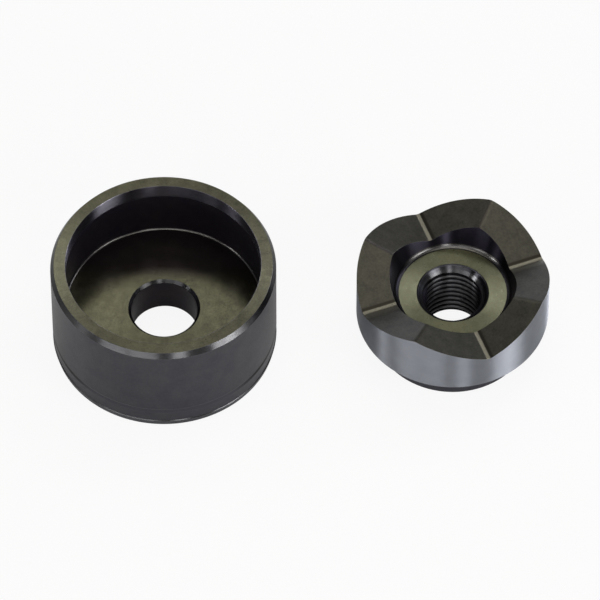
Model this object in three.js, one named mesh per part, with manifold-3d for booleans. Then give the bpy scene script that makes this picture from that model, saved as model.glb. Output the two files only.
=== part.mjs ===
// A knockout punch and die: the two hardened steel pieces that cut a round hole in sheet metal.
// The die is a cup with a ground cutting land inside its rim. The punch has a four-point shear face
// and a threaded hub, and a draw stud through the die pulls it into the cup, points first.
// The two stand side by side on the bench, mouth and points up. Millimetres, +Z up, +X from die to
// punch, with the origin at the middle of the pair, on the bench.
import * as THREE from "three";
import { mergeVertices } from "three/addons/utils/BufferGeometryUtils.js";
import Module from "manifold-3d";

// The draw stud that both pieces are made for, a 3/4 inch one with 12 threads to the inch.
const studRadius = 9.525;
const threadDepth = 1.145; // radial, from the stud's crest to its root
const studClearance = 0.225; // the stud slides through the die with this much room all round

// The punch's cutting diameter is the size of the hole. The die is that much larger.
const punchRadius = 28.25;
const cuttingClearance = 0.35;

// Die.
const dieWall = 4.4; // at the cutting land
const dieHeight = 34.7;
const dieFloor = 13.15; // thickness under the cup
const landHeight = 4.85; // the ground ring that cuts
const reliefDepth = 0.6; // the cup is this much wider under the land, so that the slug drops free
const reliefStep = 0.5; // height of the step between land and relief
const cupFillet = 0.6;
const rimChamferWidth = 1;
const rimChamferHeight = 1.8;
const baseTaperWidth = 0.4;
const baseTaperHeight = 2;
const groovePlace = 6.7; // height of the turned line round the outside
const grooveDepth = 0.3;
const grooveWidth = 0.8;
const dieBoreChamfer = 0.85;

// Punch.
const punchBoss = 22.9; // radius of the plain boss that stands on the bench
const bossHeight = 11.45;
const bossChamfer = 2;
const bandHeight = 12; // the ground cylinder, from the boss to the bottoms of the grooves
const bandChamfer = 0.4;
const shearAngle = 21.5; // degrees, between each shear flat and the bench
const grooveFlat = 1; // width of the narrow flat along each groove's bottom
const grooveTurn = 20.7; // degrees, from +X to the first groove
const recessRadius = 17.8; // at the height of the grooves' bottoms
const recessTaper = 15.1; // degrees, by which the recess's wall leans outward
const recessDepth = 3.25; // below the grooves' bottoms
const recessFillet = 1.6;
const countersink = 2.2;
const punchBoreChamfer = 0.2;

// Layout and how finely round forms are cut.
const standApart = 23.48; // between the two outer surfaces, on the bench
const overrun = 1; // how far a cutter passes the surface that it cuts
const turnSteps = 120; // flats round a turned piece
const filletSteps = 5;

const dieRadius = punchRadius + cuttingClearance + dieWall;
const landRadius = dieRadius - dieWall;
const cupRadius = landRadius + reliefDepth;
const dieBore = studRadius + studClearance;
const hubBore = studRadius - threadDepth;
const grooveBottom = bossHeight + bandHeight;
const recessFloor = grooveBottom - recessDepth;
const shearSlope = Math.tan(THREE.MathUtils.degToRad(shearAngle));
// The points stand where two neighbouring flats meet, half way between the grooves.
const pointReach = punchRadius * Math.SQRT1_2 - grooveFlat / 2;
const pointHeight = grooveBottom + shearSlope * pointReach;
const recessLean = THREE.MathUtils.degToRad(recessTaper);
const recessMouth = recessRadius + Math.tan(recessLean) * (pointHeight - grooveBottom);
const recessFoot = recessRadius - Math.tan(recessLean) * recessDepth;
const axisSpacing = dieRadius + standApart + punchRadius;
const overallLength = dieRadius + axisSpacing + punchRadius;
const dieX = dieRadius - overallLength / 2;
const punchX = dieX + axisSpacing;

const wasm = await Module();
wasm.setup();

const solidOf = (geometry) => {
  const bare = geometry.clone();
  bare.deleteAttribute("normal");
  bare.deleteAttribute("uv");
  const merged = mergeVertices(bare);
  const mesh = new wasm.Mesh({
    numProp: 3,
    vertProperties: merged.getAttribute("position").array,
    triVerts: new Uint32Array(merged.getIndex().array),
  });
  return new wasm.Manifold(mesh);
};

const geometryOf = (solid) => {
  const { vertProperties, triVerts } = solid.getMesh();
  const geometry = new THREE.BufferGeometry();
  geometry.setAttribute("position", new THREE.BufferAttribute(vertProperties, 3));
  geometry.setIndex(new THREE.BufferAttribute(triVerts, 1));
  const flat = geometry.toNonIndexed();
  flat.computeVertexNormals();
  return flat;
};

// A closed outline of (radius, height) points turned about the upright axis. The lathe spins about Y,
// so the result is stood up along Z. The outline runs anticlockwise, with the axis to its left.
const turned = (outline) => {
  const points = outline.map(([radius, height]) => new THREE.Vector2(radius, height));
  points.push(points[0].clone());
  return new THREE.LatheGeometry(points, turnSteps).rotateX(Math.PI / 2);
};

// The concave round where a floor meets a wall that leans outward, from the floor's edge up to the
// wall. The wall's foot is where wall and floor would meet without the round.
const cornerFillet = (footRadius, floorHeight, radius, lean) => {
  const sweep = Math.PI / 2 - lean;
  const centre = footRadius - radius * Math.tan(sweep / 2);
  const steps = Array.from({ length: filletSteps + 1 }, (unused, step) => step / filletSteps);
  return steps.map((share) => {
    const angle = share * sweep;
    return [
      centre + radius * Math.sin(angle),
      floorHeight + radius - radius * Math.cos(angle),
    ];
  });
};

// The cup: flat base with a slight taper, a turned line round the body, a chamfered rim, the ground
// land, the wider relief under it, and the floor with the stud's clearance hole.
const makeDie = () => {
  const rimInner = dieRadius - rimChamferWidth;
  const outline = [
    [dieBore + dieBoreChamfer, 0],
    [dieRadius - baseTaperWidth, 0],
    [dieRadius, baseTaperHeight],
    [dieRadius, groovePlace - grooveWidth / 2],
    [dieRadius - grooveDepth, groovePlace],
    [dieRadius, groovePlace + grooveWidth / 2],
    [dieRadius, dieHeight - rimChamferHeight],
    [rimInner, dieHeight],
    [landRadius, dieHeight],
    [landRadius, dieHeight - landHeight],
    [cupRadius, dieHeight - landHeight - reliefStep],
    ...cornerFillet(cupRadius, dieFloor, cupFillet, 0).reverse(),
    [dieBore + dieBoreChamfer, dieFloor],
    [dieBore, dieFloor - dieBoreChamfer],
    [dieBore, dieBoreChamfer],
  ];
  return turned(outline);
};

// The punch before its face is milled: boss, ground band, conical recess and bored hub in one blank.
const punchBlank = () => {
  const outline = [
    [hubBore + punchBoreChamfer, 0],
    [punchBoss - bossChamfer, 0],
    [punchBoss, bossChamfer],
    [punchBoss, bossHeight],
    [punchRadius - bandChamfer, bossHeight],
    [punchRadius, bossHeight + bandChamfer],
    [punchRadius, pointHeight],
    [recessMouth, pointHeight],
    ...cornerFillet(recessFoot, recessFloor, recessFillet, recessLean).reverse(),
    [hubBore + countersink, recessFloor],
    [hubBore, recessFloor - countersink],
    [hubBore, punchBoreChamfer],
  ];
  return solidOf(turned(outline));
};

// The cutter for one groove: a wide V with a narrow flat bottom, carried right across the punch.
const grooveCutter = (turn) => {
  const rise = pointHeight - grooveBottom + overrun;
  const length = 2 * (punchRadius + overrun);
  const section = new THREE.Shape();
  section.moveTo(-grooveFlat / 2, grooveBottom);
  section.lineTo(grooveFlat / 2, grooveBottom);
  section.lineTo(grooveFlat / 2 + rise / shearSlope, grooveBottom + rise);
  section.lineTo(-grooveFlat / 2 - rise / shearSlope, grooveBottom + rise);
  section.closePath();
  const cutter = new THREE.ExtrudeGeometry(section, { depth: length, bevelEnabled: false });
  cutter.translate(0, 0, -length / 2);
  cutter.rotateX(Math.PI / 2);
  cutter.rotateZ(THREE.MathUtils.degToRad(turn + 90));
  return solidOf(cutter);
};

// Two grooves at right angles leave eight shear flats, four valleys and four cutting points.
const makePunch = () => {
  let solid = punchBlank();
  [0, 90].forEach((quarter) => {
    solid = solid.subtract(grooveCutter(grooveTurn + quarter));
  });
  return geometryOf(solid);
};

const oxidisedSteel = new THREE.MeshStandardMaterial({
  color: 0x45474c,
  metalness: 1,
  roughness: 0.42,
  flatShading: true,
});
const groundSteel = new THREE.MeshStandardMaterial({
  color: 0x6d6b64,
  metalness: 1,
  roughness: 0.34,
  flatShading: true,
});

const die = new THREE.Mesh(makeDie(), oxidisedSteel);
die.name = "die";
die.position.x = dieX;

const punch = new THREE.Mesh(makePunch(), groundSteel);
punch.name = "punch";
punch.position.x = punchX;

const punchAndDie = new THREE.Group();
punchAndDie.add(die, punch);

export default punchAndDie;
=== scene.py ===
"""A knockout punch and die in hardened steel, standing side by side: the turned, oxidised die with its
ground cutting land on the left, and the ground four-point punch with its threaded hub on the right.

Every length is in metres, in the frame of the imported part: +X from die to punch, +Z up.
"""

import math

import bpy
import numpy as np
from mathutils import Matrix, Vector


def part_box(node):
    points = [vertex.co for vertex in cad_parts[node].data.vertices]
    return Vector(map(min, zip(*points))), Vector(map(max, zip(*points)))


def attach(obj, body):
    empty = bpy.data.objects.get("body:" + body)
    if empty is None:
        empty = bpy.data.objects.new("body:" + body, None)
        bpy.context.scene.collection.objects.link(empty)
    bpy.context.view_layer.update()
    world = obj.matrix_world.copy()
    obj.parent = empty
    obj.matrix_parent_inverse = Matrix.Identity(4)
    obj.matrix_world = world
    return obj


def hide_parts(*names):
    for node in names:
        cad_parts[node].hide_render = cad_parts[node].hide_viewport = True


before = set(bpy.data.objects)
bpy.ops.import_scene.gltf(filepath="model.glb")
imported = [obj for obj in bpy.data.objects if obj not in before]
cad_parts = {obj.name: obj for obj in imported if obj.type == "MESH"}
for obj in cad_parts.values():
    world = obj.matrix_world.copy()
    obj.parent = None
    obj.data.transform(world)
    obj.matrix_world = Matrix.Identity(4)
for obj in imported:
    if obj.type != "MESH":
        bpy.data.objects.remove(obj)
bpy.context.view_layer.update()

MM = 0.001
IMAGE_SIDE = 600
WHITE = (1, 1, 1, 1)

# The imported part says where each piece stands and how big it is.
DIE_LOW, DIE_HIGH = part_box("die")
PUNCH_LOW, PUNCH_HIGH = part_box("punch")
DIE_AXIS = (DIE_LOW.x + DIE_HIGH.x) / 2
PUNCH_AXIS = (PUNCH_LOW.x + PUNCH_HIGH.x) / 2

# Die.
DIE_RADIUS = (DIE_HIGH.x - DIE_LOW.x) / 2
DIE_HEIGHT = DIE_HIGH.z - DIE_LOW.z
DIE_WALL = 4.4 * MM
DIE_FLOOR = 13.15 * MM
LAND_HEIGHT = 4.85 * MM
RELIEF_DEPTH = 0.6 * MM
RELIEF_STEP = 0.5 * MM
CUP_FILLET = 0.5 * MM
DIE_BORE = 9.75 * MM
DIE_BORE_CHAMFER = 0.85 * MM
# Chamfers and steps on the outside, each by its depth and its height.
RIM_CHAMFER = (1 * MM, 1.8 * MM)
BASE_TAPER = (0.4 * MM, 2 * MM)
LEDGE = (0.2 * MM, 0.38 * MM)
# The line turned round the die, drawn wider than the real one, which the picture would lose. It is
# deepest a quarter of its width above its middle.
LINE_PLACE = 7.2 * MM
LINE_DEPTH = 0.08 * MM
LINE_WIDTH = 1.7 * MM

# Punch.
PUNCH_RADIUS = (PUNCH_HIGH.x - PUNCH_LOW.x) / 2
BOSS_RADIUS = 22.9 * MM
BOSS_HEIGHT = 11.45 * MM
BOSS_CHAMFER = 2 * MM
BAND_CHAMFER = 0.4 * MM
GROOVE_BOTTOM = 23.45 * MM
SHEAR_SLOPE = math.tan(math.radians(21.5))
GROOVE_FLAT = 1 * MM
GROOVE_TURN = math.radians(20.7)
RECESS_RADIUS = 17.8 * MM
RECESS_SLOPE = math.tan(math.radians(15.1))
RECESS_FLOOR = 20.2 * MM
RECESS_FOOT = RECESS_RADIUS - RECESS_SLOPE * (GROOVE_BOTTOM - RECESS_FLOOR)
RECESS_FILLET = 1.4 * MM
COUNTERSINK = 2.2 * MM
HUB_CHAMFER = 0.2 * MM
THREAD_MAJOR = 9.525 * MM
THREAD_MINOR = 8.38 * MM
THREAD_PITCH = 25.4 / 12 * MM

# How finely the forms are cut. A hair is less than any size that shows.
EDGE_ROUND = 0.12 * MM
RIDGE_ROUND = 1.1 * MM
SUPPORT = 0.03 * MM
HAIR = 0.01 * MM
ARC_STEPS = 5
DIE_TURN_STEPS = 288
SECTOR_STEPS = 36
STRIP_STEPS = 5
FACE_ROWS = 7
THREAD_ROWS_PER_TURN = 12
SETTLING_ROUNDS = 4

# How coarse the finishes' patterns are. Turned lines lie a tool's feed apart, and clouds of oxide and oil
# are as wide as on the real pieces. The grains, the specks, the dried spots and the ground faces' lines
# are drawn coarser than the real ones, which the picture would lose.
LINE_SPACING = 0.2 * MM
OUTSIDE_LINE_SPACING = 0.3 * MM
FACE_LINE_SPACING = 0.25 * MM
CLOUD = 3 * MM
OUTSIDE_CLOUD = 5 * MM
BAND_CLOUD = 4 * MM
BORE_CLOUD = 4 * MM
BORED_EDGE_CLOUD = 2 * MM
FLOOR_CLOUD = 2.5 * MM
POLISH_CLOUD = 1.2 * MM
OXIDE_FLECK = 0.8 * MM
OXIDE_GRAIN = 0.35 * MM
OIL_GRAIN = 0.5 * MM
MILLED_SPECK = 0.7 * MM
MILLED_GRAIN = 0.3 * MM
SPOTTED_PATCH = 9 * MM
DRIED_SPOT = 0.6 * MM
BUMP_DEPTH = 0.01 * MM

# Where a finish changes, as the start and the end of the change. Names that end in X, Y or R give
# distances from the piece's own axis: to the right, away from the viewer, or outward.
# The chamfer is darker at the sides and the back.
CHAMFER_DARK_Y = (-20 * MM, -12 * MM)
# Painted shade in the turned line: black at the sides, dark grey behind.
LINE_SIDE_SHADE_Y = (-27 * MM, -18 * MM)
LINE_BACK_SHADE_Y = (0, 12 * MM)
# A painted highlight on the cutting land.
LAND_LIGHT_RISE_X = (-21.5 * MM, -18.5 * MM)
LAND_LIGHT_FALL_X = (-21 * MM, -8 * MM)
LAND_RIGHT_LIGHT_X = (10 * MM, 16 * MM)
# A painted reflection of the violet wall on the cup's floor.
FLOOR_WALL_REFLECTION_Y = (10 * MM, 18 * MM)
# Painted highlights on the corners' rounds at the back, and painted shade near the punch's floor.
DIE_CORNER_HIGHLIGHT_Y = (6 * MM, 16 * MM)
PUNCH_CORNER_HIGHLIGHT_Y = (8.5 * MM, 12.5 * MM)
PUNCH_CORNER_SHADE_R = (16.1 * MM, 16.4 * MM)
# A painted highlight on the recess wall.
RECESS_LIGHT_LEFT_X = (-3 * MM, 2 * MM)
RECESS_LIGHT_BACK_Y = (8 * MM, 11 * MM)
# Painted shade on the countersink's right.
COUNTERSINK_SHADE_X = (2 * MM, 6 * MM)
THREAD_START_R = (THREAD_MINOR + 1 * MM, THREAD_MINOR + 1.2 * MM)
# Where the thread is painted lighter at the back, and where painted shade starts below its crests.
THREAD_HIGHLIGHT_Y = (3.4 * MM, 6.2 * MM)
THREAD_CREST_R = (THREAD_MINOR + 0.22 * MM, THREAD_MINOR + 0.36 * MM)
# Painted shade on the shear face's ridges at the back.
FACE_RIDGE_SHADE_Y = (-4 * MM, 4 * MM)
# These are distances across the shear face's grooves, from the middle of their narrow flats.
HALF_FLAT = GROOVE_FLAT / 2
# Painted light in front of the grooves that run across the view.
LIGHTENED_RISE = (-3.2 * MM, -0.7 * MM)
LIGHTENED_FALL = (-HALF_FLAT, 0)
# A painted shadow along each narrow flat's far side.
SHADOW_RISE = (HALF_FLAT, HALF_FLAT + 0.3 * MM)
SHADOW_FALL = (HALF_FLAT + 0.7 * MM, HALF_FLAT + 1.3 * MM)
BRIGHT_RISE = (-HALF_FLAT - 0.4 * MM, -HALF_FLAT + 0.2 * MM)
BRIGHT_FALL = (HALF_FLAT - 0.1 * MM, HALF_FLAT + 0.1 * MM)

# Camera: the photograph's high, long-lens view and its scale. The sensor's width is in millimetres.
VIEW_ELEVATION = math.radians(53.7)
VIEW_TURN = math.radians(-0.32)
VIEW_DISTANCE = 2.2
VIEW_TARGET = Vector((0, 12.35 * MM, 0))
PIXELS_PER_METRE = 3373
SENSOR_WIDTH = 36
NEAR_CLIP, FAR_CLIP = 0.1, 20

# Room. The glow shares say how much of the floor's paint a glow stands in for, as the camera sees it and
# as the steel mirrors it.
ROOM_LEVEL = (0.12, 0.12, 0.12, 1)
FLOOR_HALF = 6.0
FLOOR_LEVEL = -0.02 * MM
SEEN_GLOW_SHARE = 0.9
MIRRORED_GLOW_SHARE = 0.1

# Soft boxes round the pieces: azimuth from the viewer's side to the right, elevation, width, height, how
# bright the face looks, and its tint. The low ones draw the streaks on the ground and turned edges.
LAMP_DISTANCE = 1.6
PLAIN, WARM, COOL = "#ffffff", "#fffbe8", "#e6ecff"
LAMPS = {
    "left_box": (-73, 20, 0.24, 0.85, 6.2, PLAIN),
    "left_front_low_box": (-42.5, 5, 0.66, 0.28, 5.0, PLAIN),
    "left_front_box": (-42, 24, 0.56, 0.75, 1.45, PLAIN),
    "front_low_box": (-18, 5, 0.66, 0.28, 5.3, PLAIN),
    "front_box": (-18, 24, 0.56, 0.75, 0.7, PLAIN),
    "front_low_strip": (11.5, 5, 0.3, 0.28, 8.2, PLAIN),
    "front_strip": (11.5, 24, 0.27, 0.75, 2.4, PLAIN),
    "right_front_low_box": (46, 5, 0.3, 0.28, 12.5, PLAIN),
    "right_front_box": (46, 24, 0.27, 0.75, 2.6, PLAIN),
    "right_window": (57, 5, 0.3, 0.28, 19.5, PLAIN),
    "right_box": (57, 24, 0.27, 0.75, 4.6, PLAIN),
    "right_low_strip": (67, 5, 0.24, 0.28, 7.8, PLAIN),
    "right_strip": (67, 24, 0.22, 0.75, 2.8, PLAIN),
    "right_back_low_box": (117, 5, 0.3, 0.28, 28.0, PLAIN),
    "right_back_box": (122, 33, 0.6, 0.4, 3.0, COOL),
    "back_low_box": (190, 12, 0.5, 0.45, 1.6, COOL),
    "left_back_box": (225, 36, 0.7, 0.5, 0.25, WARM),
    "back_high_right_box": (142, 53.5, 0.7, 0.26, 4.2, PLAIN),
    "back_high_box": (178, 53.5, 0.64, 0.26, 1.5, PLAIN),
    "back_high_left_box": (207, 53.5, 0.32, 0.26, 2.6, PLAIN),
    "overhead_box": (180, 84, 0.8, 0.7, 1.8, WARM),
    "front_high_box": (0, 60, 0.9, 0.6, 1.2, PLAIN),
}


def linear(code):
    """Turns an sRGB hex code into linear red, green, blue and full alpha."""
    channels = [int(code[i : i + 2], 16) / 255 for i in (1, 3, 5)]
    return [c / 12.92 if c <= 0.04045 else ((c + 0.055) / 1.055) ** 2.4 for c in channels] + [1]


def add(tree, kind, inputs=None, **settings):
    """Adds a node with its settings. Each input gets a value, a socket or another node's first output."""
    made = tree.nodes.new(kind)
    for name, value in settings.items():
        setattr(made, name, value)
    for name, value in (inputs or {}).items():
        if isinstance(value, bpy.types.Node):
            value = value.outputs[0]
        if isinstance(value, bpy.types.NodeSocket):
            tree.links.new(value, made.inputs[name])
        else:
            made.inputs[name].default_value = value
    return made


# Geometry


def softened(corners):
    """A closed outline with each corner replaced by a circular arc.

    corners is rows of (radius, height, rounding). The arc's centre lies on the corner's bisector, at
    rounding / sin(half angle), and its points are the great-circle blend of the two tangent points.
    A support point just before and after each arc keeps the flats flat under smooth shading.
    Returns the points, and for each one whether it lies on an edge's arc.
    """
    corners = np.array(corners, float)
    place, rounding = corners[:, :2], corners[:, 2:3]
    back = np.roll(place, 1, axis=0) - place
    ahead = np.roll(place, -1, axis=0) - place
    back /= np.linalg.norm(back, axis=1, keepdims=True)
    ahead /= np.linalg.norm(ahead, axis=1, keepdims=True)
    half = np.arccos(np.clip((back * ahead).sum(1, keepdims=True), -1, 1)) / 2
    reach = rounding / np.tan(half)
    bisector = back + ahead
    bisector /= np.linalg.norm(bisector, axis=1, keepdims=True)
    centre = place + bisector * rounding / np.sin(half)
    start, end = place + back * reach - centre, place + ahead * reach - centre
    sweep = math.pi - 2 * half
    share = np.linspace(0, 1, ARC_STEPS + 1)[None, :, None]
    from_start = np.sin((1 - share) * sweep[:, None]) * start[:, None]
    to_end = np.sin(share * sweep[:, None]) * end[:, None]
    arcs = (from_start + to_end) / np.sin(sweep)[:, None] + centre[:, None]
    before = (place + back * (reach + SUPPORT))[:, None]
    after = (place + ahead * (reach + SUPPORT))[:, None]
    points = np.concatenate([before, arcs, after], axis=1)
    on_arc = np.zeros(points.shape[:2])
    on_arc[:, 1:-1] = 1
    return points.reshape(-1, 2), on_arc.ravel()


def outline_length(points):
    """Distance along a closed outline at each of its points, and once more back at the first."""
    steps = np.linalg.norm(np.roll(points, -1, axis=0) - points, axis=1)
    return np.concatenate([[0], np.cumsum(steps)])[:, None]


def outline_middles(points):
    """The middle of each stretch of a closed outline, from one point to the next."""
    return (points + np.roll(points, -1, axis=0)) / 2


def slots_by_row(points, finishes, places):
    """The slot number of each stretch's finish: the first one's, or that of a place that holds its middle.

    places is rows of (finish, low corner, high corner), each corner as (radius, height).
    """
    middle = outline_middles(points)
    slots = np.zeros(len(points), int)
    for name, low, high in places:
        inside = (middle >= np.array(low)) & (middle <= np.array(high))
        slots[inside.all(axis=1)] = list(finishes).index(name)
    return slots


def grid_mesh(name, x, y, z, along, edge, slots, finishes):
    """A closed ring of quads from arrays of shape (rows, columns), where both directions wrap round.

    The UV map runs u round the turning direction, and v by along, the distance along the profile with
    a last row for where it closes. Its level lines give the tangent that the turned finishes need.
    edge says how much each row of points is an edge, and goes into the attribute of that name, for
    wear. slots gives the faces their finishes, by row or face by face.
    """
    rows, columns = x.shape
    row, column = np.indices((rows, columns))
    index = row * columns + column
    next_row, next_column = np.roll(index, -1, axis=0), np.roll(index, -1, axis=1)
    opposite = np.roll(next_row, -1, axis=1)
    faces = np.stack([index, next_column, opposite, next_row], axis=-1).reshape(-1, 4)
    mesh = bpy.data.meshes.new(name)
    mesh.vertices.add(rows * columns)
    mesh.vertices.foreach_set("co", np.stack([x, y, z], axis=-1).astype(np.float32).ravel())
    mesh.loops.add(faces.size)
    mesh.loops.foreach_set("vertex_index", faces.astype(np.int32).ravel())
    mesh.polygons.add(len(faces))
    mesh.polygons.foreach_set("loop_start", np.arange(0, faces.size, 4, dtype=np.int32))
    by_face = np.broadcast_to(slots.reshape(rows, -1), x.shape)
    mesh.polygons.foreach_set("material_index", by_face.astype(np.int32).ravel())
    mesh.polygons.foreach_set("use_smooth", np.ones(len(faces), bool))
    u = np.stack([column, column + 1, column + 1, column], axis=-1) / columns
    along = np.broadcast_to(along / along.max(), (rows + 1, columns))
    beside = np.roll(along, -1, axis=1)
    v = np.stack([along[:-1], beside[:-1], beside[1:], along[1:]], axis=-1)
    layer = mesh.uv_layers.new(name="turning")
    layer.data.foreach_set("uv", np.stack([u, v], axis=-1).astype(np.float32).ravel())
    edges = mesh.attributes.new("edge", "FLOAT", "POINT")
    edges.data.foreach_set("value", np.broadcast_to(edge[:, None], x.shape).astype(np.float32).ravel())
    mesh.update()
    mesh.validate()
    for finish in finishes.values():
        mesh.materials.append(finish)
    piece = bpy.data.objects.new(name, mesh)
    bpy.context.collection.objects.link(piece)
    return piece


def make_die(finishes):
    """The cup, turned about its upright axis: x = axis + r cos a, y = r sin a and z = h.

    The radius r and the height h run round a closed outline, and the angle a round the axis.
    """
    land = DIE_RADIUS - DIE_WALL
    cup = land + RELIEF_DEPTH
    rim = DIE_RADIUS - RIM_CHAMFER[0]
    line_low, line_high = LINE_PLACE - LINE_WIDTH / 2, LINE_PLACE + LINE_WIDTH / 2
    land_low = DIE_HEIGHT - LAND_HEIGHT
    above_ledge = DIE_RADIUS - LEDGE[0]
    bore_edge = DIE_BORE + DIE_BORE_CHAMFER
    points, edge = softened([
        (bore_edge, 0, EDGE_ROUND),
        (DIE_RADIUS - BASE_TAPER[0], 0, 2 * EDGE_ROUND),
        (DIE_RADIUS, BASE_TAPER[1], EDGE_ROUND),
        (above_ledge, BASE_TAPER[1] + LEDGE[1], EDGE_ROUND),
        (DIE_RADIUS, line_low, EDGE_ROUND),
        (DIE_RADIUS - LINE_DEPTH, LINE_PLACE + LINE_WIDTH / 4, EDGE_ROUND / 2),
        (DIE_RADIUS, line_high, EDGE_ROUND / 2),
        (DIE_RADIUS, DIE_HEIGHT - RIM_CHAMFER[1], 2 * EDGE_ROUND),
        (rim, DIE_HEIGHT, EDGE_ROUND),
        (land, DIE_HEIGHT, EDGE_ROUND / 2),
        (land, land_low, EDGE_ROUND),
        (cup, land_low - RELIEF_STEP, EDGE_ROUND),
        (cup, DIE_FLOOR, CUP_FILLET),
        (bore_edge, DIE_FLOOR, EDGE_ROUND),
        (DIE_BORE, DIE_FLOOR - DIE_BORE_CHAMFER, EDGE_ROUND),
        (DIE_BORE, DIE_BORE_CHAMFER, EDGE_ROUND),
    ])
    radius, height = points[:, :1], points[:, 1:]
    angle = np.linspace(0, 2 * math.pi, DIE_TURN_STEPS, endpoint=False)[None, :]
    x = DIE_AXIS + radius * np.cos(angle)
    y = radius * np.sin(angle)
    z = np.broadcast_to(height, x.shape)
    slack = EDGE_ROUND
    chamfer_low = DIE_FLOOR - DIE_BORE_CHAMFER
    slots = slots_by_row(points, finishes, [
        ("rim", (land + slack, DIE_HEIGHT - slack), (rim, DIE_HEIGHT)),
        ("floor", (bore_edge - slack, DIE_FLOOR - HAIR), (cup, DIE_FLOOR + HAIR)),
        ("land", (land - slack, land_low), (land + slack, DIE_HEIGHT)),
        ("chamfer", (rim, DIE_HEIGHT - RIM_CHAMFER[1]), (DIE_RADIUS, DIE_HEIGHT - slack / 2)),
        ("chamfer", (above_ledge, BASE_TAPER[1]), (DIE_RADIUS, BASE_TAPER[1] + LEDGE[1])),
        ("bore edge", (DIE_BORE, chamfer_low), (bore_edge, DIE_FLOOR - HAIR)),
        ("wall", (land - slack, DIE_FLOOR + CUP_FILLET), (cup + slack, land_low)),
        ("bore", (DIE_BORE - slack, DIE_BORE_CHAMFER), (DIE_BORE + HAIR, chamfer_low)),
        ("line", (DIE_RADIUS - LINE_DEPTH - HAIR, line_low), (DIE_RADIUS - HAIR, line_high)),
        ("corner", (cup - CUP_FILLET, DIE_FLOOR + HAIR), (cup + slack, DIE_FLOOR + CUP_FILLET)),
    ])
    return grid_mesh("turned_die", x, y, z, outline_length(points), edge, slots, finishes)


def shear_height(x, y):
    """Height of the milled face above the grooves' bottoms, at a place seen from the punch's axis.

    Each groove rises from its narrow flat at the shear angle, and the face is the lower of the two,
    which leaves a ridge where they meet. The ridges are rounded wide by a polynomial smooth minimum,
    and the narrow flats' sides a little by a smooth maximum, each of the form
    max(width - gap, 0)^2 / (4 width).
    """
    across = [
        np.abs(y * math.cos(turn) - x * math.sin(turn)) - HALF_FLAT
        for turn in (GROOVE_TURN, GROOVE_TURN + math.pi / 2)
    ]
    first, second = [
        np.maximum(d, 0) + np.maximum(EDGE_ROUND - np.abs(d), 0) ** 2 / (4 * EDGE_ROUND) for d in across
    ]
    dulled = np.maximum(RIDGE_ROUND - np.abs(first - second), 0) ** 2 / (4 * RIDGE_ROUND)
    return SHEAR_SLOPE * (np.minimum(first, second) - dulled)


def sector_angles(radius):
    """The angle of each grid column at a radius, both of shape (rows, columns).

    A quarter of the punch is one groove's narrow flat, whose sides run parallel at
    asin(half the flat / radius), and the two shear flats up to the next one. Columns crowd towards
    the flats' sides and the ridge, so that both stay crisp. Each angle is a share of the flat's half
    angle, plus a fixed turn.
    """
    ease = (1 - np.cos(np.linspace(0, math.pi, SECTOR_STEPS + 1)[1:])) / 2
    strip = np.linspace(-1, 1, STRIP_STEPS)
    back = ease[-2::-1]
    share = np.concatenate([strip, 1 - ease, back - 1])
    turn = np.concatenate([0 * strip, ease * math.pi / 4, math.pi / 2 - back * math.pi / 4])
    share = np.tile(share, 4)
    turn = np.concatenate([turn + quarter * math.pi / 2 for quarter in range(4)]) + GROOVE_TURN
    return share * np.arcsin(HALF_FLAT / radius) + turn


def thread_radius(height, angle):
    """Radius of the hub's thread: a right-handed helix with 60 degree flanks.

    The phase is the height less one pitch a turn. A triangle wave of it is clipped to the thread's
    crest flat, a quarter of the pitch, and its root flat, an eighth.
    """
    phase = (height / THREAD_PITCH - angle / (2 * math.pi)) % 1
    away = np.abs(phase - 0.5) * THREAD_PITCH
    flank = away - THREAD_PITCH / 8
    return np.clip(THREAD_MINOR + flank * math.sqrt(3), THREAD_MINOR, THREAD_MAJOR)


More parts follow.
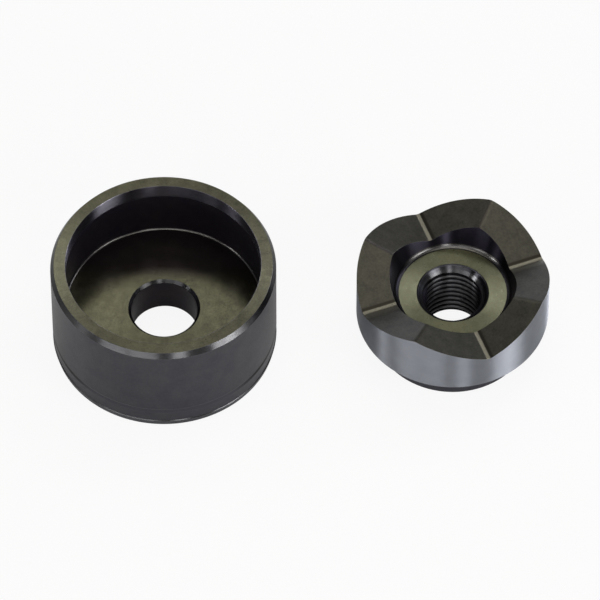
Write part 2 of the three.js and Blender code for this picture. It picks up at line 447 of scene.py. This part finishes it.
def make_punch(finishes):
    """The punch: a turned outline whose top rows are lifted to the milled shear face.

    x = axis + r cos a, y = r sin a, z = outline height + lift * shear height(x, y), where lift is 1 on
    the face, and runs down to 0 along the ground band outside and the recess's wall inside. The wall
    leans outward, so r grows with the lifted height by the wall's slope, all of it at the recess and
    none at the band. The shear height depends on r in turn, so a few rounds settle both. In the hub
    the radius is the thread's, never inside the countersinks' cones.
    """
    points, edge = softened([
        (THREAD_MINOR + HUB_CHAMFER, 0, EDGE_ROUND),
        (BOSS_RADIUS - BOSS_CHAMFER, 0, 2 * EDGE_ROUND),
        (BOSS_RADIUS, BOSS_CHAMFER, 2 * EDGE_ROUND),
        (BOSS_RADIUS, BOSS_HEIGHT, 4 * EDGE_ROUND),
        (PUNCH_RADIUS - BAND_CHAMFER, BOSS_HEIGHT, EDGE_ROUND),
        (PUNCH_RADIUS, BOSS_HEIGHT + BAND_CHAMFER, EDGE_ROUND),
        (PUNCH_RADIUS, GROOVE_BOTTOM, EDGE_ROUND / 2),
        (RECESS_RADIUS, GROOVE_BOTTOM, EDGE_ROUND),
        (RECESS_FOOT, RECESS_FLOOR, RECESS_FILLET),
        (THREAD_MINOR + COUNTERSINK, RECESS_FLOOR, EDGE_ROUND),
    ])
    # The face is wide, so it gets rows of its own between its two edges.
    outside = points[:, 0] > (RECESS_RADIUS + PUNCH_RADIUS) / 2
    outer = np.flatnonzero((points[:, 1] > GROOVE_BOTTOM - HAIR) & outside)[-1]
    face_points = np.linspace(points[outer], points[outer + 1], FACE_ROWS + 2)[1:-1]
    points = np.insert(points, outer + 1, face_points, axis=0)
    edge = np.insert(edge, outer + 1, np.zeros(FACE_ROWS))
    # Rows of the hub, from the countersink's rim down to the chamfer at the bottom.
    rows = int(RECESS_FLOOR / THREAD_PITCH * THREAD_ROWS_PER_TURN)
    hub_height = np.linspace(points[-1, 1] - SUPPORT, points[0, 1] + SUPPORT, rows + 2)[1:-1]
    hub = np.stack([np.full(rows, THREAD_MINOR), hub_height], axis=1)
    in_hub = slice(len(points), None)
    points = np.concatenate([points, hub])
    edge = np.concatenate([edge, np.zeros(rows)])
    radius, height = points[:, :1], points[:, 1:]
    band = (radius > PUNCH_RADIUS - EDGE_ROUND) & (height > BOSS_HEIGHT + 2 * BAND_CHAMFER)
    face = (radius > RECESS_RADIUS - EDGE_ROUND) & (height > GROOVE_BOTTOM - 2 * EDGE_ROUND)
    lift = (band | face).astype(float)
    inward = np.clip((PUNCH_RADIUS - radius) / (PUNCH_RADIUS - RECESS_RADIUS), 0, 1)
    columns = 4 * (STRIP_STEPS + 2 * SECTOR_STEPS - 1)
    reach = np.broadcast_to(radius, (len(points), columns))
    for settle in range(SETTLING_ROUNDS):
        angle = sector_angles(reach)
        raised = lift * shear_height(reach * np.cos(angle), reach * np.sin(angle))
        reach = radius + inward * RECESS_SLOPE * raised
    height = np.broadcast_to(height, reach.shape)
    thread = thread_radius(height[in_hub], angle[in_hub])
    upper_cone = THREAD_MINOR + COUNTERSINK - (RECESS_FLOOR - height[in_hub])
    lower_cone = THREAD_MINOR + HUB_CHAMFER - height[in_hub]
    reach[in_hub] = np.maximum(np.maximum(thread, upper_cone), lower_cone)
    x, y, z = reach * np.cos(angle), reach * np.sin(angle), height + raised
    # The fillet meets the floor and the wall at the same distance from the corner that it rounds.
    lean = math.atan(RECESS_SLOPE)
    tangent = RECESS_FILLET * math.tan((math.pi / 2 - lean) / 2)
    fillet_foot = RECESS_FOOT - tangent
    fillet_top = RECESS_FLOOR + tangent * math.cos(lean)
    hub_rim = THREAD_MINOR + COUNTERSINK - EDGE_ROUND
    by_row = slots_by_row(points, finishes, [
        ("floor", (hub_rim, RECESS_FLOOR - EDGE_ROUND), (fillet_foot + EDGE_ROUND, RECESS_FLOOR + HAIR)),
        ("wall", (RECESS_FOOT, fillet_top), (RECESS_RADIUS + EDGE_ROUND, GROOVE_BOTTOM)),
        ("corner", (fillet_foot, RECESS_FLOOR + HAIR), (RECESS_RADIUS, fillet_top)),
    ])
    slot = list(finishes).index
    middle = outline_middles(points)
    on_face = (middle[:, 1] > GROOVE_BOTTOM - EDGE_ROUND / 3) & (middle[:, 0] > RECESS_RADIUS)
    on_band = (middle[:, 0] > BOSS_RADIUS) & (middle[:, 1] > BOSS_HEIGHT + EDGE_ROUND) & ~on_face
    by_row[on_face] = slot("face")
    by_row[on_band] = slot("band")
    slots = np.repeat(by_row[:, None], columns, axis=1)
    slots[in_hub] = np.where(upper_cone >= thread, slot("countersink"), slot("thread"))
    # A lifted point is that much further along the profile on the band, and that much less on the wall.
    shift = (1 - 2 * inward) * raised
    along = outline_length(points) + np.concatenate([shift, shift[:1]])
    return grid_mesh("ground_punch", PUNCH_AXIS + x, y, z, along, edge, slots, finishes)


# Materials


def blank_material(name):
    """An empty material, and its node tree."""
    made = bpy.data.materials.new(name)
    made.use_nodes = True
    made.node_tree.nodes.clear()
    return made, made.node_tree


def blank_finish(name, axis):
    """An empty material, its node tree, and Object coordinates measured from a piece's upright axis."""
    made, tree = blank_material(name)
    place = add(tree, "ShaderNodeTexCoord").outputs["Object"]
    return made, tree, add(tree, "ShaderNodeMapping", {"Vector": place, "Location": (-axis, 0, 0)})


def finished(made, colour, roughness, bump, strength=0.1, anisotropy=0.0):
    """Ends a finish in its metal shader, and returns it. Anisotropy draws streaks across the lines."""
    tree = made.node_tree
    normal = add(tree, "ShaderNodeBump", {"Height": bump, "Strength": strength, "Distance": BUMP_DEPTH})
    inputs = {"Base Color": colour, "Metallic": 1.0, "Roughness": roughness, "Normal": normal}
    if anisotropy:
        # The rotation is a quarter turn from the map's u, which runs round the turning direction.
        inputs |= {"Anisotropic": anisotropy, "Anisotropic Rotation": 0.25}
        inputs["Tangent"] = add(tree, "ShaderNodeTangent", direction_type="UV_MAP", uv_map="turning")
    shader = add(tree, "ShaderNodeBsdfPrincipled", inputs)
    add(tree, "ShaderNodeOutputMaterial", {"Surface": shader})
    return made


def from_centre(tree, place):
    """Distance from the piece's axis."""
    flat = add(tree, "ShaderNodeMapping", {"Vector": place, "Scale": (1, 1, 0)})
    return add(tree, "ShaderNodeVectorMath", {0: flat}, operation="LENGTH").outputs["Value"]


def turning_lines(tree, place, spacing=LINE_SPACING):
    """Noise that changes across the tool's path and not along it, as fine rings and level lines.

    It reads only the distance from the axis and the height, both in line spacings.
    """
    height = add(tree, "ShaderNodeSeparateXYZ", {"Vector": place}).outputs["Z"]
    lines = add(tree, "ShaderNodeCombineXYZ", {"X": from_centre(tree, place), "Y": height})
    return add(tree, "ShaderNodeTexNoise", {"Vector": lines, "Scale": 1 / spacing, "Detail": 2.0})


def grained(tree, place, size, low, high, detail=3.0):
    """Noise in patches about as wide as size, for a bump, and the same noise stretched from low to high.

    The stretch starts at 0.3 and ends at 0.7, between which the noise mostly lies.
    """
    noise = add(tree, "ShaderNodeTexNoise", {"Vector": place, "Scale": 1 / size, "Detail": detail})
    ends = {"From Min": 0.3, "From Max": 0.7, "To Min": low, "To Max": high}
    return noise, add(tree, "ShaderNodeMapRange", {"Value": noise} | ends)


def clouds(tree, place, size, low=0.0, high=1.0, detail=3.0):
    """Noise in patches about as wide as size, from low to high."""
    return grained(tree, place, size, low, high, detail)[1]


def spots(tree, place, size, start, end):
    """Smooth noise in patches about as wide as size: none below the value start, full above end."""
    noise = add(tree, "ShaderNodeTexNoise", {"Vector": place, "Scale": 1 / size, "Detail": 1.0})
    ends = {"From Min": start, "From Max": end}
    return add(tree, "ShaderNodeMapRange", {"Value": noise} | ends, interpolation_type="SMOOTHSTEP")


def change(tree, place, direction, span, low=0.0, high=1.0):
    """Goes smoothly from low to high over a span of distances from the piece's axis.

    direction is X to the right, Y away from the viewer or R outward.
    """
    if direction == "R":
        distance = from_centre(tree, place)
    else:
        distance = add(tree, "ShaderNodeSeparateXYZ", {"Vector": place}).outputs[direction]
    ends = {"From Min": span[0], "From Max": span[1], "To Min": low, "To Max": high}
    return add(tree, "ShaderNodeMapRange", {"Value": distance} | ends, interpolation_type="SMOOTHSTEP")


def strip(tree, distance, rise, fall, low=0.0):
    """A strip with soft sides: it goes from low to 1 over one span of a distance, and back over another.

    It is the product of the two sides, so it stays under 1 where the spans overlap.
    """
    sides = []
    for span, first, last in ((rise, low, 1.0), (fall, 1.0, low)):
        ends = {"From Min": span[0], "From Max": span[1], "To Min": first, "To Max": last}
        side = add(tree, "ShaderNodeMapRange", {"Value": distance} | ends, interpolation_type="SMOOTHSTEP")
        sides.append(side)
    return add(tree, "ShaderNodeMath", {0: sides[0], 1: sides[1]}, operation="MULTIPLY")


def layered(tree, base, *layers):
    """Lays tones over a base tone, one after the other.

    A layer is a hex code, and then the shares whose product says how much it covers.
    """
    colour = linear(base)
    for tone, cover, *others in layers:
        for share in others:
            cover = add(tree, "ShaderNodeMath", {0: cover, 1: share}, operation="MULTIPLY")
        # A Mix node's two colours are its inputs 6 and 7, and its output is 2.
        mix = add(tree, "ShaderNodeMix", {0: cover, 6: colour, 7: linear(tone)}, data_type="RGBA")
        colour = mix.outputs[2]
    return colour


def film(tree, place, size, width):
    """How thin the oil film lies, from 0 to 1: in clouds with a grain, and wiped thinner towards the left.

    The wiping changes over width to each side of the axis.
    """
    cloud = clouds(tree, place, size, 0, 0.5, 6.0)
    grain = clouds(tree, place, OIL_GRAIN, -0.2, 0.2, 1.0)
    sideways = add(tree, "ShaderNodeSeparateXYZ", {"Vector": place}).outputs["X"]
    ends = {"From Min": -width, "From Max": width, "To Min": 0.5, "To Max": 0.0}
    wiped = add(tree, "ShaderNodeMapRange", {"Value": sideways} | ends)
    patchy = add(tree, "ShaderNodeMath", {0: cloud, 1: grain}, operation="ADD")
    return add(tree, "ShaderNodeMath", {0: patchy, 1: wiped}, operation="ADD")


def groove_distance(tree, place):
    """Where a place on the shear face lies, as seen from above.

    Returns the distance from the nearer groove's middle line, negative on that line's front or left
    side, the distance from the nearer ridge, and 1 where the nearer groove runs across the view, or
    else 0.
    """
    turned = add(tree, "ShaderNodeMapping", {"Vector": place, "Rotation": (0, 0, -GROOVE_TURN)})
    signed = add(tree, "ShaderNodeSeparateXYZ", {"Vector": turned})
    sizes = add(tree, "ShaderNodeVectorMath", {0: turned}, operation="ABSOLUTE")
    size = add(tree, "ShaderNodeSeparateXYZ", {"Vector": sizes})
    gap = add(tree, "ShaderNodeMath", {0: size.outputs["X"], 1: size.outputs["Y"]}, operation="SUBTRACT")
    level = add(tree, "ShaderNodeMath", {0: gap, 1: 0.0}, operation="GREATER_THAN")
    side = add(tree, "ShaderNodeMix", {0: level, 2: signed.outputs["X"], 3: signed.outputs["Y"]})
    ridge = add(tree, "ShaderNodeMath", {0: gap}, operation="ABSOLUTE")
    return side, ridge, level


def turned_steel(name, axis, dark, light, patch, roughness, anisotropy):
    """Turned or ground steel in clouds of two tones. Its fine lines draw lights into streaks."""
    made, tree, place = blank_finish(name, axis)
    colour = layered(tree, dark, (light, clouds(tree, place, patch)))
    return finished(made, colour, roughness, turning_lines(tree, place), anisotropy=anisotropy)


def oxidised_steel(axis):
    """Black oxide on turned alloy steel: a thin violet-black skin, cloudy and grained, rubbed at edges."""
    made, tree, place = blank_finish("black_oxide_on_turned_steel", axis)
    patches = clouds(tree, place, OUTSIDE_CLOUD, 0, 0.6)
    flecks = clouds(tree, place, OXIDE_FLECK, 0, 0.4)
    tone = add(tree, "ShaderNodeMath", {0: patches, 1: flecks}, operation="ADD")
    rubbed = add(tree, "ShaderNodeAttribute", attribute_name="edge").outputs["Fac"]
    colour = layered(tree, "#45434b", ("#515155", tone), ("#7c7b80", rubbed, 0.3))
    grain, roughness = grained(tree, place, OXIDE_GRAIN, 0.36, 0.44)
    lines = turning_lines(tree, place, OUTSIDE_LINE_SPACING)
    bump = add(tree, "ShaderNodeMath", {0: lines, 1: grain}, operation="ADD")
    return finished(made, colour, roughness, bump, strength=0.25)


def oxidised_edge(axis):
    """Black oxide on a ground chamfer: nearly black, but lights stand on it as short bright streaks.

    It is darker at the sides and the back.
    """
    made, tree, place = blank_finish("black_oxide_on_ground_steel", axis)
    # Darker at the sides and the back than in front.
    oil = change(tree, place, "Y", CHAMFER_DARK_Y)
    colour = layered(tree, "#464648", ("#4c4c4d", clouds(tree, place, CLOUD)), ("#2f2f31", oil))
    return finished(made, colour, 0.263, turning_lines(tree, place), anisotropy=0.74)


def oxidised_bore(axis):
    """Black oxide in the stud's hole, darker still as painted shade from the shadowed floor that it
    mirrors: almost black, with violet clouds.
    """
    return turned_steel("black_oxide_in_turned_bore", axis, "#2d2a33", "#373234", BORE_CLOUD, 0.3, 0.5)


def oxidised_wall(axis):
    """Black oxide on the cup's relieved wall, turned coarsely and so dull: violet-black in soft clouds."""
    return turned_steel("black_oxide_on_coarse_turning", axis, "#3f3b48", "#474249", CLOUD, 0.55, 0.0)


def bored_edge(axis):
    """The small chamfer on the stud's hole, its oxide worn thin by studs: bright where a light strikes."""
    patch = BORED_EDGE_CLOUD
    return turned_steel("worn_oxide_on_bored_edge", axis, "#5e5e60", "#6c6c6d", patch, 0.22, 0.8)


def turned_line(axis):
    """The line turned round the die: painted shade lies black in it at the sides, dark grey behind, and
    none in front.
    """
    made, tree, place = blank_finish("shaded_turned_line", axis)
    side_shade = change(tree, place, "Y", LINE_SIDE_SHADE_Y)
    back_shade = change(tree, place, "Y", LINE_BACK_SHADE_Y)
    # Painted shade: black at the sides, dark grey behind.
    colour = layered(tree, "#4b4a50", ("#0d0c0f", side_shade), ("#333136", back_shade))
    return finished(made, colour, 0.4, turning_lines(tree, place))


def cutting_land(axis):
    """The ring that cuts: ground inside, then oxidised, so lights show on it as violet-grey streaks.

    A painted highlight lightens it at the back on the left, and a little on the right; it stays dark across
    the middle and at the far left.
    """
    made, tree, place = blank_finish("black_oxide_on_ground_bore", axis)
    sideways = add(tree, "ShaderNodeSeparateXYZ", {"Vector": place}).outputs["X"]
    left = strip(tree, sideways, LAND_LIGHT_RISE_X, LAND_LIGHT_FALL_X, 0.15)
    right = change(tree, place, "X", LAND_RIGHT_LIGHT_X, 0, 0.26)
    both = add(tree, "ShaderNodeMath", {0: left, 1: right}, operation="ADD")
    cloud = clouds(tree, place, CLOUD, 0, 0.15)
    # The painted highlight's share, with clouds.
    thin = add(tree, "ShaderNodeMath", {0: both, 1: cloud}, operation="ADD")
    colour = layered(tree, "#3f3c47", ("#b9b6c4", thin))
    return finished(made, colour, 0.27, turning_lines(tree, place), anisotropy=0.99)


def oxidised_recess(axis):
    """The punch's recess wall, turned and then oxidised: violet-black, with soft upright streaks.

    On the left half of the back it is painted lighter, a painted highlight.
    """
    made, tree, place = blank_finish("black_oxide_on_turned_recess", axis)
    left = change(tree, place, "X", RECESS_LIGHT_LEFT_X, 1, 0.25)
    back = change(tree, place, "Y", RECESS_LIGHT_BACK_Y)
    corner = add(tree, "ShaderNodeMath", {0: left, 1: back}, operation="MULTIPLY")
    cloud = clouds(tree, place, CLOUD, 0, 0.15)
    # The painted highlight's share, with clouds.
    thin = add(tree, "ShaderNodeMath", {0: corner, 1: cloud}, operation="ADD")
    colour = layered(tree, "#221f27", ("#423f4b", thin))
    return finished(made, colour, 0.33, turning_lines(tree, place), anisotropy=0.99)


def turned_corner(axis, side, bare, highlight_span, shade_span=None):
    """The round left by the turning tool's tip in an inner corner, painted dim in front and at the sides as
    shade.

    It is painted lighter, a painted highlight that catches the lights, only at the back. Painted shade
    darkens it further where it nears the floor, inside the span of radii given last, if one is given.
    """
    made, tree, place = blank_finish("tool_tip_turned_steel", axis)
    # Painted highlight at the back.
    layers = [(bare, change(tree, place, "Y", highlight_span))]
    if shade_span:
        # Painted shade where the round meets the floor.
        layers.append(("#232226", change(tree, place, "R", shade_span, 1, 0)))
    colour = layered(tree, side, *layers)
    return finished(made, colour, 0.27, turning_lines(tree, place), strength=0.03, anisotropy=0.7)


def countersunk(axis):
    """The hub's countersink: dark and streaked outside, with painted shade on its right, and bare grey
    where the thread's first turn ends.
    """
    made, tree, place = blank_finish("countersunk_steel", axis)
    shaded_right = change(tree, place, "X", COUNTERSINK_SHADE_X)
    thread_end = change(tree, place, "R", THREAD_START_R, 1, 0)
    # Painted shade on the right.
    colour = layered(tree, "#5e5e62", ("#36363a", shaded_right), ("#6c6c6e", thread_end))
    return finished(made, colour, 0.25, turning_lines(tree, place), anisotropy=0.8)


def turned_face(axis, dark, light, width):
    """A face turned or ground flat on its own axis: bright steel with an oily, faintly olive film."""
    made, tree, place = blank_finish("face_turned_steel", axis)
    colour = layered(tree, dark, (light, film(tree, place, CLOUD, width)))
    roughness = clouds(tree, place, POLISH_CLOUD, 0.27, 0.33, 4.0)
    lines = turning_lines(tree, place, FACE_LINE_SPACING)
    return finished(made, colour, roughness, lines, strength=0.2, anisotropy=0.8)


def stained_floor(axis):
    """The cup's turned floor: the same film, with soft stains and a few spots where oil has dried.

    Towards the back it is tinted violet, a painted reflection of the violet wall that it mirrors there. The
    spots lie only in a few wide patches.
    """
    made, tree, place = blank_finish("oil_stained_turned_steel", axis)
    patches = spots(tree, place, SPOTTED_PATCH, 0.52, 0.62)
    dried = spots(tree, place, DRIED_SPOT, 0.56, 0.72)
    colour = layered(
        tree,
        "#444337",
        ("#61604c", film(tree, place, FLOOR_CLOUD, DIE_RADIUS)),
        # Painted reflection of the violet wall, towards the back.
        ("#58524f", change(tree, place, "Y", FLOOR_WALL_REFLECTION_Y)),
        ("#3a3930", patches, dried),
    )
    stain, roughness = grained(tree, place, CLOUD, 0.22, 0.18, 4.0)
    return finished(made, colour, roughness, stain, anisotropy=0.5)


def ground_cylinder(axis):
    """Steel ground on its diameter: silvery, its fine level lines drawing lights into upright streaks."""
    return turned_steel("cylindrically_ground_steel", axis, "#888b93", "#8f9299", BAND_CLOUD, 0.37, 0.99)


def milled_flat(axis):
    """The shear flats, milled and left as they came from the hardening oil: grey-brown satin with a grain.

    The narrow flat along each groove was cut last, and is bright, with a soft edge on one side. A
    painted shadow lies along its other side, and painted shade on the dulled ridges at the back dims
    their highlight. In front of the two grooves that run across the view, the flats are painted lighter.
    """
    made, tree, place = blank_finish("milled_hardened_steel", axis)
    cloud = clouds(tree, place, CLOUD, 0, 0.5, 4.0)
    specks = clouds(tree, place, MILLED_SPECK, 0, 0.5, 2.0)
    tone = add(tree, "ShaderNodeMath", {0: cloud, 1: specks}, operation="ADD")
    side, ridge, level = groove_distance(tree, place)
    ends = {"From Min": 0.0, "From Max": RIDGE_ROUND, "To Min": 1.0, "To Max": 0.0}
    on_ridge = add(tree, "ShaderNodeMapRange", {"Value": ridge} | ends, interpolation_type="SMOOTHSTEP")
    colour = layered(
        tree,
        "#4d4c47",
        ("#646259", tone),
        # Painted shade on the ridges at the back, which dims their highlight.
        ("#3f3c3b", change(tree, place, "Y", FACE_RIDGE_SHADE_Y), on_ridge),
        # Painted highlight in front of the grooves that run across the view.
        ("#8f8c80", strip(tree, side, LIGHTENED_RISE, LIGHTENED_FALL), level, 0.9),
        # Painted shadow along the far side of each narrow flat.
        ("#3f3c36", strip(tree, side, SHADOW_RISE, SHADOW_FALL)),
        ("#7d7a6d", strip(tree, side, BRIGHT_RISE, BRIGHT_FALL)),
    )
    grain, roughness = grained(tree, place, MILLED_GRAIN, 0.34, 0.42)
    return finished(made, colour, roughness, grain, strength=0.25)


def cut_thread(axis):
    """A tapped thread: bright on the crests at the back, partly bored steel and partly painted highlight.

    Painted shade makes it black down its flanks and in the roots, and darkens the crests at both sides and
    in front.
    """
    made, tree, place = blank_finish("tapped_steel_thread", axis)
    # Painted highlight at the back, and painted shade below the crests.
    bare = change(tree, place, "Y", THREAD_HIGHLIGHT_Y)
    shaded_flanks = change(tree, place, "R", THREAD_CREST_R)
    colour = layered(tree, "#2d2a31", ("#868689", bare), ("#222124", shaded_flanks))
    return finished(made, colour, 0.4, turning_lines(tree, place), anisotropy=0.95)


# Stage


def make_floor():
    """A plain white floor that keeps a faint shadow.

    The room lights its paint to white. Where the camera sees it, and less where the steel mirrors it,
    a glow at strength 1 stands in for part of the paint, and so thins the shadow.
    """
    signs = [(-1, -1), (1, -1), (1, 1), (-1, 1)]
    corners = [(right * FLOOR_HALF, away * FLOOR_HALF, FLOOR_LEVEL) for right, away in signs]
    mesh = bpy.data.meshes.new("floor")
    mesh.from_pydata(corners, [], [(0, 1, 2, 3)])
    floor = bpy.data.objects.new("floor", mesh)
    bpy.context.collection.objects.link(floor)
    made, tree = blank_material("matt_white_floor")
    paint = add(tree, "ShaderNodeBsdfDiffuse", {"Color": linear("#f4f4f4")})
    glow = add(tree, "ShaderNodeEmission", {"Color": WHITE, "Strength": 1.0})
    rays = add(tree, "ShaderNodeLightPath").outputs
    shares = []
    for ray, share in (("Is Camera Ray", SEEN_GLOW_SHARE), ("Is Glossy Ray", MIRRORED_GLOW_SHARE)):
        shares.append(add(tree, "ShaderNodeMath", {0: rays[ray], 1: share}, operation="MULTIPLY"))
    glowing = add(tree, "ShaderNodeMath", {0: shares[0], 1: shares[1]}, operation="ADD")
    whole = add(tree, "ShaderNodeMixShader", {0: glowing, 1: paint, 2: glow})
    add(tree, "ShaderNodeOutputMaterial", {"Surface": whole})
    mesh.materials.append(made)


def make_world():
    """An even, pale room. The camera sees it white, past the floor's edge."""
    world = bpy.data.worlds.new("room")
    world.use_nodes = True
    tree = world.node_tree
    tree.nodes.clear()
    seen = add(tree, "ShaderNodeLightPath").outputs["Is Camera Ray"]
    colour = add(tree, "ShaderNodeMix", {0: seen, 6: ROOM_LEVEL, 7: WHITE}, data_type="RGBA")
    sky = add(tree, "ShaderNodeBackground", {"Color": colour.outputs[2]})
    add(tree, "ShaderNodeOutputWorld", {"Surface": sky})
    bpy.context.scene.world = world


def make_lamps():
    """Soft boxes that face the pieces. An area light gives power / (pi * area) as its face's brightness."""
    for name, (azimuth, elevation, width, height, brightness, tint) in LAMPS.items():
        light = bpy.data.lights.new(name, "AREA")
        light.shape = "RECTANGLE"
        light.size, light.size_y = width, height
        light.energy = brightness * math.pi * width * height
        light.color = linear(tint)[:3]
        box = bpy.data.objects.new(name, light)
        a, e = math.radians(azimuth), math.radians(elevation)
        away = Vector((math.sin(a) * math.cos(e), -math.cos(a) * math.cos(e), math.sin(e)))
        box.location = away * LAMP_DISTANCE
        box.rotation_mode = "QUATERNION"
        box.rotation_quaternion = away.to_track_quat("Z", "Y")
        box.visible_camera = False
        bpy.context.collection.objects.link(box)


def make_camera():
    """The photograph's view: straight on, 54 degrees down, from far enough to be nearly parallel."""
    camera = bpy.data.objects.new("camera", bpy.data.cameras.new("camera"))
    level = math.cos(VIEW_ELEVATION)
    back = Vector((level * math.sin(VIEW_TURN), -level * math.cos(VIEW_TURN), math.sin(VIEW_ELEVATION)))
    camera.location = VIEW_TARGET + back * VIEW_DISTANCE
    camera.rotation_mode = "QUATERNION"
    camera.rotation_quaternion = back.to_track_quat("Z", "Y")
    camera.data.sensor_width = SENSOR_WIDTH
    camera.data.lens = SENSOR_WIDTH * PIXELS_PER_METRE * VIEW_DISTANCE / IMAGE_SIDE
    camera.data.clip_start = NEAR_CLIP
    camera.data.clip_end = FAR_CLIP
    bpy.context.collection.objects.link(camera)
    bpy.context.scene.camera = camera


make_camera()
make_world()
make_floor()
make_lamps()

die = make_die({
    "outside": oxidised_steel(DIE_AXIS),
    "rim": turned_face(DIE_AXIS, "#4f4e42", "#6f6e5b", 1.2 * DIE_RADIUS),
    "floor": stained_floor(DIE_AXIS),
    "land": cutting_land(DIE_AXIS),
    "chamfer": oxidised_edge(DIE_AXIS),
    "bore": oxidised_bore(DIE_AXIS),
    "corner": turned_corner(DIE_AXIS, "#4c4a4a", "#817f7d", DIE_CORNER_HIGHLIGHT_Y),
    "bore edge": bored_edge(DIE_AXIS),
    "wall": oxidised_wall(DIE_AXIS),
    "line": turned_line(DIE_AXIS),
})
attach(die, "die_body")
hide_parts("die")

punch = make_punch({
    "boss": oxidised_steel(PUNCH_AXIS),
    "floor": turned_face(PUNCH_AXIS, "#5f5f4d", "#71725d", 5 * PUNCH_RADIUS),
    "band": ground_cylinder(PUNCH_AXIS),
    "face": milled_flat(PUNCH_AXIS),
    "thread": cut_thread(PUNCH_AXIS),
    "wall": oxidised_recess(PUNCH_AXIS),
    "corner": turned_corner(PUNCH_AXIS, "#343236", "#737170", PUNCH_CORNER_HIGHLIGHT_Y, PUNCH_CORNER_SHADE_R),
    "countersink": countersunk(PUNCH_AXIS),
})
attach(punch, "punch_body")
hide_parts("punch")

bpy.context.scene.view_settings.view_transform = "Standard"
